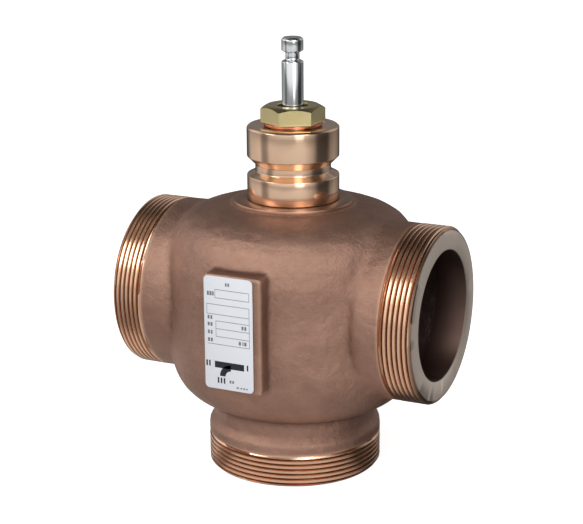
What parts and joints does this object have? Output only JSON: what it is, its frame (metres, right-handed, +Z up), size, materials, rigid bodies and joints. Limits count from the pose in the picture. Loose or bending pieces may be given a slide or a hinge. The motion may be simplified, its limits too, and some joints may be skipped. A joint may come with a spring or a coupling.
{
  "type": "three way valve",
  "caption": "Threaded bronze three way seat valve with a sliding stem, double-faced plug, seats, seals and a grooved neck for an actuator.",
  "frame": {"origin": "centre of the lower port's face, on the stem's axis", "axes": "+Z up the stem, +X along the straight run to the right port, -Y out of the front pad with the label"},
  "size_m": [0.15, 0.1245, 0.202],
  "materials": {
    "cast_bronze": "sand cast, with machined threads and faces",
    "turned_bronze": "turned and polished",
    "brass": "machined",
    "copper": "annealed copper sheet",
    "steel": "polished stainless steel",
    "rubber": "moulded EPDM",
    "ptfe": "machined PTFE",
    "sticker": "silvery film, printed in black"
  },
  "bodies": {
    "valve": {"valve_body": "cast_bronze", "bonnet_gasket": "copper", "bonnet": "turned_bronze", "stem_guide_bush": "brass", "backing_ring": "ptfe", "lower_stem_o_ring": "rubber", "spacer_ring": "brass", "upper_stem_o_ring": "rubber", "thrust_ring": "brass", "gland_washer": "copper", "gland_nut": "brass", "nut_guide_bush": "ptfe", "wiper_ring": "rubber", "upper_seat_ring": "brass", "upper_seat_gasket": "copper", "lower_seat_ring": "brass", "lower_seat_gasket": "copper", "label": "sticker"},
    "stem_and_plug": {"stem": "steel", "upper_crown": "brass", "plug": "brass", "lower_crown": "brass", "plug_washer": "steel", "plug_nut": "steel", "plug_nut_pin": "steel"}
  },
  "joints": [
    {"name": "stem_slide", "type": "slide", "parent": "valve", "child": "stem_and_plug", "axis": [0, 0, 1], "range_m": [-0.01, 0.01]}
  ]
}
